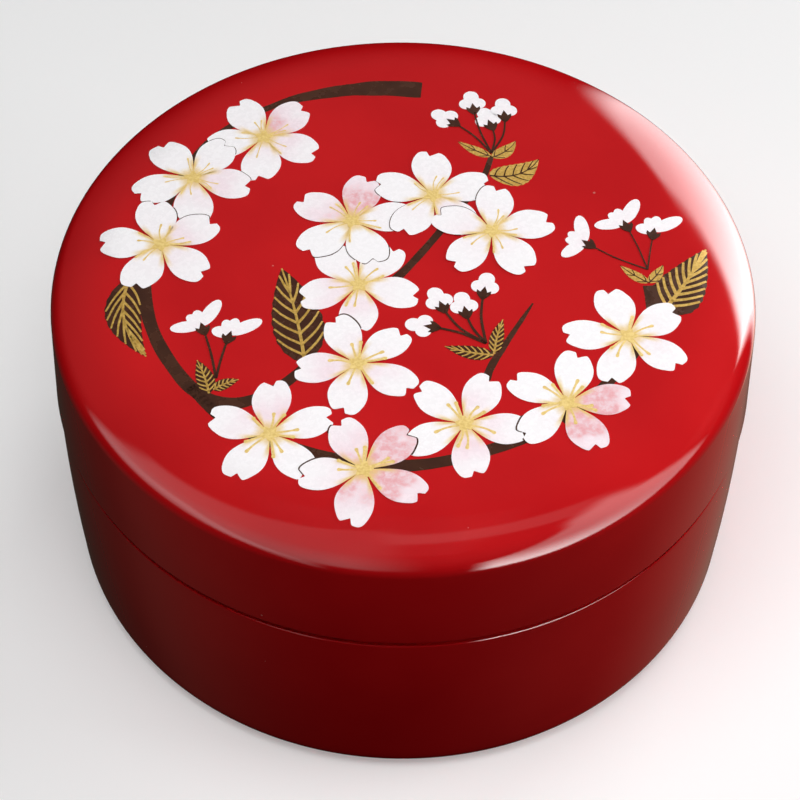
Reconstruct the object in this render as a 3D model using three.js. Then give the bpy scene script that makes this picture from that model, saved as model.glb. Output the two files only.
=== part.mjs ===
// A round lacquered jewelry box. A turned body carries a locating collar, and a domed lid lifts straight off.
// Inside are a velvet-covered wall lining, a floor pad, a divider with a bed of ring rolls behind it, and a
// mirror in a velvet surround under the lid.
// Millimetres, +Z up. The origin is on the table, under the centre of the foot. The front is towards -Y.
import * as THREE from "three";

// Overall sizes
const RADIUS = 55; // outside of the lid's lip
const BODY_HEIGHT = 36; // table to the body's rim
const LID_SIDE_HEIGHT = 15.9; // lip to where the lid's edge starts to round over

// Lid top: a rounded edge, a wide sloping shoulder and a shallow dome, each tangent to the next
const LID_OVERHANG = 0.3; // the lip stands out this far past the body's mouth
const LID_DRAFT = 0.4; // the side is this much smaller at its top than at its lip
const EDGE_RADIUS = 4;
const SHOULDER_WIDTH = 8.8; // measured along the radius
const SHOULDER_SLOPE = THREE.MathUtils.degToRad(30); // where the shoulder meets the edge
const DOME_RISE = 0.9; // the centre stands this much above the shoulder
const LID_TOP_WALL = 3.4;
const CEILING_FILLET = 4;
const LIP_RADIUS = 0.4;

// Body shell
const MOUTH_WALL = 3.2; // beside the collar
const FOOT_INSET = 1.6; // the outside draws in this much from mouth to table
const FOOT_EDGE_RADIUS = 4;
const FOOT_WIDTH = 5; // the ring that the box stands on
const FOOT_DEPTH = 1.5; // recess under the floor, with sides at 45 degrees
const FLOOR_WALL = 3;
const FLOOR_FILLET = 1;
const RIM_RADIUS = 0.8;

// Locating collar
const COLLAR_WALL = 1.8;
const COLLAR_SEAT_DEPTH = 8; // rebate below the rim
const COLLAR_RISE = 5.5; // above the rim, inside the lid
const COLLAR_LEAD_IN = 0.6; // rounded top edges

// Velvet-covered inside pieces
const LINING_THICKNESS = 1.4;
const LINING_EDGE_RADIUS = 0.6;
const LINING_BELOW_COLLAR = 2; // the lining's top edge stops this far under the collar's
const PAD_THICKNESS = 3;
const PAD_EDGE_RADIUS = 1.2;
const DIVIDER_THICKNESS = 2.6;
const DIVIDER_HEIGHT = 21;
const DIVIDER_CORNER = 3;
const ROLL_COUNT = 4;
const ROLL_GAP = 0.4; // between neighbouring rolls, where a ring's band goes in
const BED_MARGIN = 5; // left free behind the last roll
const ROLL_END_ROUND = 2.5;

// Lid inside
const MIRROR_RADIUS = 34;
const MIRROR_THICKNESS = 2;
const MIRROR_BEVEL = 0.5;
const SURROUND_THICKNESS = 2.2; // velvet ring round the mirror
const SURROUND_EDGE_RADIUS = 0.8;

// Clearances
const GLUE_GAP = 0.3; // between a glued piece and its seat
const LID_CLEARANCE = 0.3; // collar to lid, on the radius
const SEAM_GAP = 0.3; // rim to lip
const SOFT_GAP = 0.4; // round a soft piece

// Facets round the box, round a ring roll and round a small corner
const TURN_STEPS = 60;
const ROLL_STEPS = 20;
const CORNER_STEPS = 2;
const FLAT_SHARE = Math.cos(Math.PI / TURN_STEPS); // a facet's middle lies this share of the radius out

// Worked-out sizes
const mouthOuter = RADIUS - LID_OVERHANG;
const mouthInner = mouthOuter - MOUTH_WALL;
const collarOuter = mouthInner - GLUE_GAP;
const collarInner = collarOuter - COLLAR_WALL;
const collarSeat = BODY_HEIGHT - COLLAR_SEAT_DEPTH;
const collarTop = BODY_HEIGHT + COLLAR_RISE;
const floorTop = FOOT_DEPTH + FLOOR_WALL;
const liningOuter = collarInner - GLUE_GAP;
const liningInner = liningOuter - LINING_THICKNESS;
const liningTop = collarTop - LINING_BELOW_COLLAR;
const padRadius = liningInner - SOFT_GAP;
const padTop = floorTop + GLUE_GAP + PAD_THICKNESS;
const lidBore = collarOuter + LID_CLEARANCE;
const lidLip = BODY_HEIGHT + SEAM_GAP;
const lidSideTop = lidLip + LID_SIDE_HEIGHT;

const lacquer = new THREE.MeshStandardMaterial({ color: 0xb0141a, roughness: 0.12, metalness: 0 });
const velvet = new THREE.MeshStandardMaterial({ color: 0x5a0f1c, roughness: 0.95, metalness: 0 });
const mirrorGlass = new THREE.MeshStandardMaterial({ color: 0xdfe4e6, roughness: 0.03, metalness: 1 });

function point(r, z) {
  return new THREE.Vector2(r, z);
}

// Points of an arc in the (radius, height) plane, both ends included. Angles are in radians from +radius.
function arc(centreR, centreZ, radius, from, to, steps) {
  const points = [];
  for (let i = 0; i <= steps; i++) {
    const angle = from + ((to - from) * i) / steps;
    points.push(point(centreR + radius * Math.cos(angle), centreZ + radius * Math.sin(angle)));
  }
  return points;
}

// A quarter-round corner of a profile, or a plain corner where its radius is 0.
function corner(centreR, centreZ, radius, from) {
  if (radius === 0) return [point(centreR, centreZ)];
  return arc(centreR, centreZ, radius, from, from + Math.PI / 2, CORNER_STEPS);
}

// A solid turned about +Z from a profile that runs anticlockwise in the (radius, height) plane.
function turned(profile) {
  return new THREE.LatheGeometry(profile, TURN_STEPS).rotateX(Math.PI / 2);
}

function piece(name, geometry, material) {
  const mesh = new THREE.Mesh(geometry, material);
  mesh.name = name;
  return mesh;
}

// A closed ring: one radius for its two lower corners and one for its two upper ones.
function ringProfile(inner, outer, bottom, top, lowRound, highRound) {
  const quarter = Math.PI / 2;
  const profile = [
    ...corner(outer - lowRound, bottom + lowRound, lowRound, -quarter),
    ...corner(outer - highRound, top - highRound, highRound, 0),
    ...corner(inner + highRound, top - highRound, highRound, quarter),
    ...corner(inner + lowRound, bottom + lowRound, lowRound, 2 * quarter),
  ];
  return [...profile, profile[0].clone()];
}

// A disc with rounded edges, from the axis at its bottom to the axis at its top.
function discProfile(radius, bottom, top, round) {
  return [
    point(0, bottom),
    ...corner(radius - round, bottom + round, round, -Math.PI / 2),
    ...corner(radius - round, top - round, round, 0),
    point(0, top),
  ];
}

// Body shell: it swells gently from a rounded foot to the mouth, and a rebate in the mouth seats the collar.
function bodyOutside(z) {
  const below = (BODY_HEIGHT - z) / BODY_HEIGHT;
  return mouthOuter - FOOT_INSET * below * below;
}

function boxBody() {
  const wallSteps = 6;
  const footEdgeSteps = 5;
  const edgeTop = FOOT_EDGE_RADIUS;
  const slope = Math.atan((2 * FOOT_INSET * (BODY_HEIGHT - edgeTop)) / BODY_HEIGHT ** 2);
  const footOuter = bodyOutside(edgeTop) - FOOT_EDGE_RADIUS * Math.cos(slope);
  const footInner = footOuter - FOOT_WIDTH;
  const wallEnd = BODY_HEIGHT - RIM_RADIUS;
  const outside = [];
  for (let i = 1; i < wallSteps; i++) {
    const z = edgeTop + ((wallEnd - edgeTop) * i) / wallSteps;
    outside.push(point(bodyOutside(z), z));
  }
  return turned([
    point(0, FOOT_DEPTH),
    point(footInner - FOOT_DEPTH, FOOT_DEPTH),
    point(footInner, 0),
    ...arc(footOuter, FOOT_EDGE_RADIUS, FOOT_EDGE_RADIUS, -Math.PI / 2, -slope, footEdgeSteps),
    ...outside,
    ...corner(bodyOutside(wallEnd) - RIM_RADIUS, wallEnd, RIM_RADIUS, 0),
    point(mouthInner, BODY_HEIGHT),
    point(mouthInner, collarSeat),
    point(collarInner, collarSeat),
    ...corner(collarInner - FLOOR_FILLET, floorTop + FLOOR_FILLET, FLOOR_FILLET, -Math.PI / 2).reverse(),
    point(0, floorTop),
  ]);
}

// Locating collar: a thin sleeve glued into the rebate, standing proud of the rim to guide the lid.
function locatingCollar() {
  return turned(ringProfile(collarInner, collarOuter, collarSeat + GLUE_GAP, collarTop, 0, COLLAR_LEAD_IN));
}

// Wall lining: velvet over card, rolled into a ring and stood on the floor inside the body and collar.
function wallLining() {
  const bottom = floorTop + FLOOR_FILLET + GLUE_GAP;
  return turned(ringProfile(liningInner, liningOuter, bottom, liningTop, 0, LINING_EDGE_RADIUS));
}

// Floor pad: velvet over a foam disc, laid inside the foot of the wall lining.
function floorPad() {
  return turned(discProfile(padRadius, floorTop + GLUE_GAP, padTop, PAD_EDGE_RADIUS));
}

// Divider: velvet over card, stood on edge across the middle of the floor pad.
const dividerBottom = padTop + GLUE_GAP;
function divider() {
  const clear = liningInner * FLAT_SHARE - SOFT_GAP;
  const half = Math.sqrt(clear ** 2 - (DIVIDER_THICKNESS / 2) ** 2);
  const cornerX = half - DIVIDER_CORNER;
  const cornerZ = DIVIDER_HEIGHT - DIVIDER_CORNER;
  const outline = new THREE.Shape();
  outline.moveTo(-half, 0);
  outline.lineTo(half, 0);
  outline.absarc(cornerX, cornerZ, DIVIDER_CORNER, 0, Math.PI / 2, false);
  outline.absarc(-cornerX, cornerZ, DIVIDER_CORNER, Math.PI / 2, Math.PI, false);
  outline.closePath();
  const plate = new THREE.ExtrudeGeometry(outline, {
    depth: DIVIDER_THICKNESS,
    bevelEnabled: false,
    curveSegments: 6,
  });
  return plate.translate(0, 0, -DIVIDER_THICKNESS / 2).rotateX(Math.PI / 2);
}

// Ring rolls: foam rolls in velvet, side by side behind the divider, each as long as the round wall allows.
const bedFront = DIVIDER_THICKNESS / 2 + SOFT_GAP;
const bedDepth = padRadius - BED_MARGIN - bedFront;
const rollDiameter = (bedDepth - (ROLL_COUNT - 1) * ROLL_GAP) / ROLL_COUNT;
const rollCentreZ = padTop + GLUE_GAP + rollDiameter / 2;

function rollCentreY(index) {
  return bedFront + rollDiameter / 2 + index * (rollDiameter + ROLL_GAP);
}

function ringRoll(index) {
  const farSide = rollCentreY(index) + rollDiameter / 2;
  const half = Math.sqrt((padRadius * FLAT_SHARE) ** 2 - farSide ** 2);
  const roundR = rollDiameter / 2 - ROLL_END_ROUND;
  const roundX = half - ROLL_END_ROUND;
  const endSteps = 4;
  const profile = [
    point(0, -half),
    ...arc(roundR, -roundX, ROLL_END_ROUND, -Math.PI / 2, 0, endSteps),
    ...arc(roundR, roundX, ROLL_END_ROUND, 0, Math.PI / 2, endSteps),
    point(0, half),
  ];
  return new THREE.LatheGeometry(profile, ROLL_STEPS).rotateZ(-Math.PI / 2);
}

// Lid shell: a short drafted side, a rounded edge, a sloping shoulder and a shallow dome over a flat ceiling.
const edgeCentreR = RADIUS - LID_DRAFT - EDGE_RADIUS;
const edgeTurn = Math.PI / 2 - SHOULDER_SLOPE; // the edge arc ends where the shoulder's slope begins
const shoulderOuter = edgeCentreR + EDGE_RADIUS * Math.cos(edgeTurn);
const shoulderFoot = lidSideTop + EDGE_RADIUS * Math.sin(edgeTurn);
const domeEdge = shoulderOuter - SHOULDER_WIDTH;
const domeRadius = (domeEdge ** 2 + DOME_RISE ** 2) / (2 * DOME_RISE);
const domeTurn = Math.asin(domeEdge / domeRadius);
const shoulderRadius = SHOULDER_WIDTH / (Math.sin(SHOULDER_SLOPE) - Math.sin(domeTurn));
const shoulderCentreR = shoulderOuter - shoulderRadius * Math.sin(SHOULDER_SLOPE);
const shoulderCentreZ = shoulderFoot - shoulderRadius * Math.cos(SHOULDER_SLOPE);
const domeEdgeZ = shoulderCentreZ + shoulderRadius * Math.cos(domeTurn);
const lidTop = domeEdgeZ + DOME_RISE;
const lidCeiling = domeEdgeZ - LID_TOP_WALL;

function lidShell() {
  const quarter = Math.PI / 2;
  const filletSteps = 4;
  const edgeSteps = 5;
  const shoulderSteps = 5;
  const domeSteps = 5;
  const domeFrom = quarter - domeTurn;
  const shoulder = arc(shoulderCentreR, shoulderCentreZ, shoulderRadius, edgeTurn, domeFrom, shoulderSteps);
  const dome = arc(0, lidTop - domeRadius, domeRadius, domeFrom, quarter, domeSteps);
  return turned([
    point(0, lidCeiling),
    ...arc(lidBore - CEILING_FILLET, lidCeiling - CEILING_FILLET, CEILING_FILLET, quarter, 0, filletSteps),
    point(lidBore, lidLip + LIP_RADIUS),
    point(lidBore + LIP_RADIUS, lidLip),
    ...corner(RADIUS - LIP_RADIUS, lidLip + LIP_RADIUS, LIP_RADIUS, -quarter),
    ...arc(edgeCentreR, lidSideTop, EDGE_RADIUS, 0, edgeTurn, edgeSteps),
    ...shoulder.slice(1),
    ...dome.slice(1, -1),
    point(0, lidTop),
  ]);
}

// Mirror: a bevelled glass disc glued to the middle of the lid's ceiling.
function lidMirror() {
  const top = lidCeiling - GLUE_GAP;
  return turned([
    point(0, top - MIRROR_THICKNESS),
    point(MIRROR_RADIUS - MIRROR_BEVEL, top - MIRROR_THICKNESS),
    point(MIRROR_RADIUS, top - MIRROR_THICKNESS + MIRROR_BEVEL),
    point(MIRROR_RADIUS, top),
    point(0, top),
  ]);
}

// Mirror surround: a velvet-covered card ring that fills the flat of the ceiling round the mirror.
function lidSurround() {
  const inner = MIRROR_RADIUS + SOFT_GAP;
  const outer = lidBore - CEILING_FILLET - GLUE_GAP;
  const top = lidCeiling - GLUE_GAP;
  return turned(ringProfile(inner, outer, top - SURROUND_THICKNESS, top, SURROUND_EDGE_RADIUS, 0));
}

const box = new THREE.Group();
box.add(piece("box_body", boxBody(), lacquer));
box.add(piece("locating_collar", locatingCollar(), lacquer));
box.add(piece("wall_lining", wallLining(), velvet));
box.add(piece("floor_pad", floorPad(), velvet));

const dividerMesh = piece("divider", divider(), velvet);
dividerMesh.position.z = dividerBottom;
box.add(dividerMesh);

for (let i = 0; i < ROLL_COUNT; i++) {
  const roll = piece(`ring_roll_${i + 1}`, ringRoll(i), velvet);
  roll.position.set(0, rollCentreY(i), rollCentreZ);
  box.add(roll);
}

const lid = new THREE.Group();
lid.add(piece("lid_shell", lidShell(), lacquer));
lid.add(piece("lid_mirror", lidMirror(), mirrorGlass));
lid.add(piece("lid_surround", lidSurround(), velvet));

const jewelryBox = new THREE.Group();
jewelryBox.add(box, lid);

export default jewelryBox;
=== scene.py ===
"""The looks of a round red lacquer jewelry box with a painted spray of blossom.

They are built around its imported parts. Lengths are in metres, and the front of the box faces -Y.
"""
from collections import namedtuple
import math
import random

import bpy
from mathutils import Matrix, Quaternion, Vector


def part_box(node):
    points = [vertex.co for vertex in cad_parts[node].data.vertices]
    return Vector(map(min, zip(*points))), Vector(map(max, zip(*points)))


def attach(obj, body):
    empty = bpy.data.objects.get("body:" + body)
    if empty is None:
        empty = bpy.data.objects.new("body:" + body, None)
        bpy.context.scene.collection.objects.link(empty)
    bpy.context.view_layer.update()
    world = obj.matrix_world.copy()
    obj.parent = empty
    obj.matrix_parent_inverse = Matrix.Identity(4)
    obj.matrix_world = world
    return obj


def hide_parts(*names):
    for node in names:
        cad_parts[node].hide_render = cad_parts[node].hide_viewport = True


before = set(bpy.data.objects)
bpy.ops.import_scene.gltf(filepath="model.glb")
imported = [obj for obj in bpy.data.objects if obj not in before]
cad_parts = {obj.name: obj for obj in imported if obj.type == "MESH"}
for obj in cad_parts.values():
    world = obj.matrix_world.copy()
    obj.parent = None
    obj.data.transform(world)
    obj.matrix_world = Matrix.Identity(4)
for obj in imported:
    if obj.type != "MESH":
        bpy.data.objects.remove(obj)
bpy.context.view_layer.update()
bpy.ops.object.select_all(action="DESELECT")

# Box body
# The body is turned from wood resin and draws in a little towards a rounded foot ring. Inside its mouth is a
# rebate for the collar, and a fine groove runs round its rim at the seam. It is sprayed with deep red lacquer
# and polished to a gloss.
MM = 0.001
TURN_STEPS = 192
MERGE_DISTANCE = 0.001 * MM
SMOOTH_ANGLE = math.radians(35)

body_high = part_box("box_body")[1]
collar_low, collar_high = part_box("locating_collar")
pad_low, pad_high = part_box("floor_pad")
GLUE_GAP = 0.3 * MM
MOUTH_WALL = 3.2 * MM
COLLAR_WALL = 1.8 * MM
FOOT_INSET = 1.6 * MM
FOOT_EDGE_RADIUS = 4 * MM
FOOT_WIDTH = 5 * MM
FOOT_DEPTH = 1.5 * MM
FLOOR_FILLET = 1 * MM
RIM_RADIUS = 0.8 * MM
RIM_ROUNDING = 26
SEAM_GROOVE = 0.2 * MM
mouth_outer = body_high[0]
mouth_inner = mouth_outer - MOUTH_WALL
body_height = body_high[2]
collar_outer = mouth_inner - GLUE_GAP
collar_inner = collar_outer - COLLAR_WALL
collar_seat = collar_low[2] - GLUE_GAP
floor_top = pad_low[2] - GLUE_GAP


def arc(centre_r, centre_z, radius, start, end, steps):
    """Points of a turned profile along an arc, from one angle to another in degrees."""
    points = []
    for step in range(steps + 1):
        angle = math.radians(start + (end - start) * step / steps)
        points.append((centre_r + radius * math.cos(angle), centre_z + radius * math.sin(angle)))
    return points


def turned(name, profile):
    """Spins a closed profile of (radius, height) points about Z into one closed shell."""
    bpy.ops.mesh.primitive_circle_add(vertices=len(profile), radius=1)
    piece = bpy.context.object
    piece.name = name
    for vertex, (radius, height) in zip(piece.data.vertices, profile):
        vertex.co = (radius, 0, height)
    bpy.ops.object.mode_set(mode="EDIT")
    bpy.ops.mesh.select_all(action="SELECT")
    bpy.ops.mesh.spin(steps=TURN_STEPS, angle=math.tau, center=(0, 0, 0), axis=(0, 0, 1))
    bpy.ops.mesh.select_all(action="SELECT")
    bpy.ops.mesh.remove_doubles(threshold=MERGE_DISTANCE)
    bpy.ops.mesh.delete_loose()
    bpy.ops.mesh.select_all(action="SELECT")
    bpy.ops.mesh.normals_make_consistent(inside=False)
    bpy.ops.object.mode_set(mode="OBJECT")
    bpy.ops.object.shade_smooth_by_angle(angle=SMOOTH_ANGLE)
    piece.select_set(False)
    return piece


def body_outside(z):
    below = (body_height - z) / body_height
    return mouth_outer - FOOT_INSET * below ** 2


def body_profile():
    wall_steps = 20
    slope = math.atan(2 * FOOT_INSET * (body_height - FOOT_EDGE_RADIUS) / body_height ** 2)
    foot_outer = body_outside(FOOT_EDGE_RADIUS) - FOOT_EDGE_RADIUS * math.cos(slope)
    foot_inner = foot_outer - FOOT_WIDTH
    wall_end = body_height - RIM_RADIUS
    groove_inner = body_outside(wall_end) - RIM_RADIUS
    points = [(0, FOOT_DEPTH), (foot_inner - FOOT_DEPTH, FOOT_DEPTH), (foot_inner, 0)]
    points += arc(foot_outer, FOOT_EDGE_RADIUS, FOOT_EDGE_RADIUS, -90, -math.degrees(slope), 14)
    for step in range(1, wall_steps):
        z = FOOT_EDGE_RADIUS + (wall_end - FOOT_EDGE_RADIUS) * step / wall_steps
        points.append((body_outside(z), z))
    points += arc(groove_inner, wall_end, RIM_RADIUS, 0, RIM_ROUNDING, 8)
    groove_outer, crest = points[-1]
    groove_floor = crest - SEAM_GROOVE
    points += [(groove_outer, groove_floor), (groove_inner, groove_floor), (groove_inner, body_height)]
    points += [(mouth_inner, body_height), (mouth_inner, collar_seat), (collar_inner, collar_seat)]
    points += arc(collar_inner - FLOOR_FILLET, floor_top + FLOOR_FILLET, FLOOR_FILLET, 0, -90, 5)
    points.append((0, floor_top))
    return points


def add_node(tree, kind, inputs=None, **settings):
    """Adds a shader node with its settings, and sets or links its inputs by name or place."""
    node = tree.nodes.new(kind)
    for name, value in settings.items():
        setattr(node, name, value)
    for name, value in (inputs or {}).items():
        if isinstance(value, bpy.types.NodeSocket):
            tree.links.new(value, node.inputs[name])
        else:
            node.inputs[name].default_value = value
    return node


def maths(tree, operation, first, second=0.0, third=0.0):
    inputs = {0: first, 1: second, 2: third}
    return add_node(tree, "ShaderNodeMath", inputs, operation=operation).outputs[0]


def ramp(tree, value, low, high, start=0.0, end=1.0):
    """Eases a value from start at low to end at high."""
    inputs = {"Value": value, "From Min": low, "From Max": high, "To Min": start, "To Max": end}
    return add_node(tree, "ShaderNodeMapRange", inputs, interpolation_type="SMOOTHSTEP").outputs[0]


def mixed(tree, factor, first, second):
    return add_node(tree, "ShaderNodeMix", {0: factor, 6: first, 7: second}, data_type="RGBA").outputs[2]


def product(tree, first, *others):
    """Multiplies a value by each of the others in turn."""
    for other in others:
        first = maths(tree, "MULTIPLY", first, other)
    return first


def object_place(tree):
    return add_node(tree, "ShaderNodeTexCoord").outputs["Object"]


def noise(tree, place, scale, detail, **others):
    inputs = {"Vector": place, "Scale": scale, "Detail": detail, **others}
    return add_node(tree, "ShaderNodeTexNoise", inputs).outputs[0]


def bumped(tree, shader, height, strength, distance):
    """Gives a shader fine relief that follows a pattern of heights."""
    inputs = {"Height": height, "Strength": strength, "Distance": distance}
    tree.links.new(add_node(tree, "ShaderNodeBump", inputs).outputs[0], shader.inputs["Normal"])


def new_group(name, inputs, outputs):
    """An empty shader node group with named value inputs and outputs."""
    group = bpy.data.node_groups.new(name, "ShaderNodeTree")
    for socket in inputs:
        group.interface.new_socket(socket, in_out="INPUT", socket_type="NodeSocketFloat")
    for socket in outputs:
        group.interface.new_socket(socket, in_out="OUTPUT", socket_type="NodeSocketFloat")
    entry = add_node(group, "NodeGroupInput")
    leave = add_node(group, "NodeGroupOutput")
    return group, entry, leave


def new_material(name, **values):
    """A Principled material with its even values set straight on the shader."""
    material = bpy.data.materials.new(name)
    material.use_nodes = True
    tree = material.node_tree
    shader = tree.nodes["Principled BSDF"]
    for socket, value in values.items():
        shader.inputs[socket.replace("_", " ")].default_value = value
    return material, tree, shader


def polish_marks_group():
    """Dust specks, fine rubbing lines and the slight ripple that a sprayed and polished coat has."""
    bare_share = 0.9
    largest_speck = 0.07
    scales = ["Speck Scale", "Line Scale"]
    group, entry, leave = new_group("polish_marks", scales, ["Specks", "Lines", "Ripple"])
    place = object_place(group)
    cells = add_node(group, "ShaderNodeTexVoronoi", {"Vector": place, "Scale": entry.outputs["Speck Scale"]})
    chance = add_node(group, "ShaderNodeSeparateColor", {"Color": cells.outputs["Color"]})
    chosen = maths(group, "GREATER_THAN", chance.outputs["Red"], bare_share)
    size = product(group, chance.outputs["Green"], largest_speck)
    dot = maths(group, "LESS_THAN", cells.outputs["Distance"], size)
    group.links.new(product(group, dot, chosen), leave.inputs["Specks"])
    drawn_out = {"Vector": place, "Rotation": (0.4, 0.3, 0.7), "Scale": (1, 0.03, 1)}
    streaks = add_node(group, "ShaderNodeMapping", drawn_out).outputs[0]
    line = ramp(group, noise(group, streaks, entry.outputs["Line Scale"], 3.0), 0.62, 0.72)
    field = ramp(group, noise(group, place, 55.0, 1.0), 0.45, 0.7)
    group.links.new(product(group, line, field), leave.inputs["Lines"])
    group.links.new(noise(group, place, 260.0, 1.5), leave.inputs["Ripple"])
    return group


polish_marks = polish_marks_group()


def red_lacquer():
    deep_red = (0.48, 0.004, 0.0065, 1)
    bright_red = (0.54, 0.0065, 0.0085, 1)
    dust = (0.55, 0.2, 0.17, 1)
    material, tree, shader = new_material("red_lacquer", IOR=1.5)
    scales = {"Speck Scale": 300.0, "Line Scale": 2600.0}
    marks = add_node(tree, "ShaderNodeGroup", scales, node_tree=polish_marks).outputs
    clouds = ramp(tree, noise(tree, object_place(tree), 38.0, 3.0), 0.3, 0.7)
    red = mixed(tree, clouds, deep_red, bright_red)
    dusty = mixed(tree, product(tree, marks["Specks"], 0.7), red, dust)
    tree.links.new(dusty, shader.inputs["Base Color"])
    speckled = maths(tree, "MULTIPLY_ADD", marks["Specks"], 0.25, 0.07)
    lined = maths(tree, "MULTIPLY_ADD", marks["Lines"], 0.06, speckled)
    tree.links.new(lined, shader.inputs["Roughness"])
    bumped(tree, shader, marks["Ripple"], 0.06, 0.05 * MM)
    return material


lacquer = red_lacquer()
body = turned("lacquered_body", body_profile())
body.data.materials.append(lacquer)
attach(body, "box")
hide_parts("box_body")

# Locating collar
# A thin sleeve with the same red lacquer is glued into the rebate in the body's mouth. It stands above the
# rim, and its rounded top edges guide the lid.
COLLAR_LEAD_IN = 0.6 * MM
COLLAR_FOOT_EDGE = 0.2 * MM


def ring_profile(inner, outer, bottom, top, low_round, high_round):
    """A closed ring's profile, with one radius for its two lower corners and one for its two upper ones."""
    points = arc(outer - low_round, bottom + low_round, low_round, -90, 0, 6)
    points += arc(outer - high_round, top - high_round, high_round, 0, 90, 6)
    points += arc(inner + high_round, top - high_round, high_round, 90, 180, 6)
    points += arc(inner + low_round, bottom + low_round, low_round, 180, 270, 6)
    return points


collar = turned(
    "lacquered_collar",
    ring_profile(collar_inner, collar_outer, collar_low[2], collar_high[2], COLLAR_FOOT_EDGE, COLLAR_LEAD_IN),
)
collar.data.materials.append(lacquer)
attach(collar, "box")
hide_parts("locating_collar")

# Wall lining
# Wine-red velvet is glued over a strip of card and rolled into a ring inside the body. Its top edge is turned
# over softly, and its two ends meet at the back in a butt seam.
LINING_THICKNESS = 1.4 * MM
LINING_EDGE_RADIUS = 0.65 * MM
LINING_FOOT_EDGE = 0.1 * MM
SEAM_DEPTH = 0.35 * MM
lining_low, lining_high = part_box("wall_lining")
lining_outer = lining_high[0]
lining_inner = lining_outer - LINING_THICKNESS


def velvet_pile_group():
    """The fine pile of velvet, and broad patches brushed one way or the other, as a mask for painted sheen.
    """
    group, entry, leave = new_group("velvet_pile", ["Pile Scale", "Patch Scale"], ["Pile", "Brushed Sheen"])
    place = object_place(group)
    group.links.new(noise(group, place, entry.outputs["Pile Scale"], 3.0), leave.inputs["Pile"])
    patches = noise(group, place, entry.outputs["Patch Scale"], 2.0, Distortion=1.2)
    group.links.new(ramp(group, patches, 0.35, 0.65), leave.inputs["Brushed Sheen"])
    return group


velvet_pile = velvet_pile_group()


def wine_velvet():
    dark_wine = (0.18, 0.006, 0.02, 1)
    painted_sheen_wine = (0.32, 0.016, 0.042, 1)
    pile_tip_painted_highlight = (0.44, 0.042, 0.075, 1)
    material, tree, shader = new_material(
        "wine_velvet", Roughness=0.92, Specular_IOR_Level=0.12, Sheen_Weight=0.55, Sheen_Roughness=0.38,
        Sheen_Tint=(0.9, 0.42, 0.46, 1),
    )
    scales = {"Pile Scale": 3200.0, "Patch Scale": 85.0}
    pile = add_node(tree, "ShaderNodeGroup", scales, node_tree=velvet_pile).outputs
    # Patches where the pile is brushed are painted a lighter wine: a painted sheen.
    ground = mixed(tree, pile["Brushed Sheen"], dark_wine, painted_sheen_wine)
    # The pile's tips are painted lighter than the ground: a painted highlight where fibre tips catch the
    # light.
    tip_painted_highlight = ramp(tree, pile["Pile"], 0.5, 0.75, 0.0, 0.6)
    tree.links.new(mixed(tree, tip_painted_highlight, ground, pile_tip_painted_highlight), shader.inputs["Base Color"])
    bumped(tree, shader, pile["Pile"], 0.5, 0.12 * MM)
    return material


velvet = wine_velvet()
lining_profile = ring_profile(
    lining_inner, lining_outer, lining_low[2], lining_high[2], LINING_FOOT_EDGE, LINING_EDGE_RADIUS
)
lining = turned("velvet_wall_lining", lining_profile)
for vertex in lining.data.vertices:
    radius = math.hypot(vertex.co.x, vertex.co.y)
    at_back = abs(vertex.co.x) < MERGE_DISTANCE and vertex.co.y > 0
    if at_back and radius < (lining_inner + lining_outer) / 2:
        vertex.co.y += SEAM_DEPTH
lining.data.materials.append(velvet)
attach(lining, "box")
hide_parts("wall_lining")

# Floor pad
# A foam disc covered with velvet fills the floor. It swells to a low crown in the middle and draws in at its
# edge, where the velvet is pulled under and glued.
CLOTH_SCALE = 20
CLOTH_FRAMES = 20
PAD_SWELL = 0.8 * MM
PAD_EDGE_RADIUS = 1.4 * MM
PAD_SIDE_GAP = 0.4 * MM
PAD_VOXEL = 1.2 * MM
PAD_GLUED_HEIGHT = 0.5 * MM
PAD_PRESSURE = 4
pad_radius = pad_high[0]


def puffed(piece, voxel, glued, swell, pressure):
    """Swells a soft piece under pressure with a short cloth simulation.

    The function glued says whether a point is held, and no point moves further than the swell.
    """
    scene = bpy.context.scene
    bpy.context.view_layer.objects.active = piece
    piece.select_set(True)
    even = piece.modifiers.new("even_faces", "REMESH")
    even.mode = "VOXEL"
    even.voxel_size = voxel
    bpy.ops.object.modifier_apply(modifier="even_faces")
    start = [vertex.co.copy() for vertex in piece.data.vertices]
    held = piece.vertex_groups.new(name="glued")
    held.add([index for index, place in enumerate(start) if glued(place)], 1.0, "REPLACE")
    for vertex in piece.data.vertices:
        vertex.co *= CLOTH_SCALE
    cloth = piece.modifiers.new("swelling", "CLOTH")
    cloth.settings.vertex_group_mass = "glued"
    cloth.settings.use_pressure = True
    cloth.settings.uniform_pressure_force = pressure
    cloth.settings.effector_weights.gravity = 0
    cloth.point_cache.frame_start = 1
    cloth.point_cache.frame_end = CLOTH_FRAMES
    for step in range(1, CLOTH_FRAMES + 1):
        scene.frame_set(step)
    bpy.ops.object.modifier_apply(modifier="swelling")
    scene.frame_set(1)
    piece.vertex_groups.clear()
    for vertex, before in zip(piece.data.vertices, start):
        move = vertex.co / CLOTH_SCALE - before
        if move.length > swell:
            move *= swell / move.length
        vertex.co = before + move
    smooth = piece.modifiers.new("smooth", "SUBSURF")
    smooth.levels = 1
    smooth.render_levels = 1
    bpy.ops.object.modifier_apply(modifier="smooth")
    bpy.ops.object.shade_smooth()
    piece.select_set(False)


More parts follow.
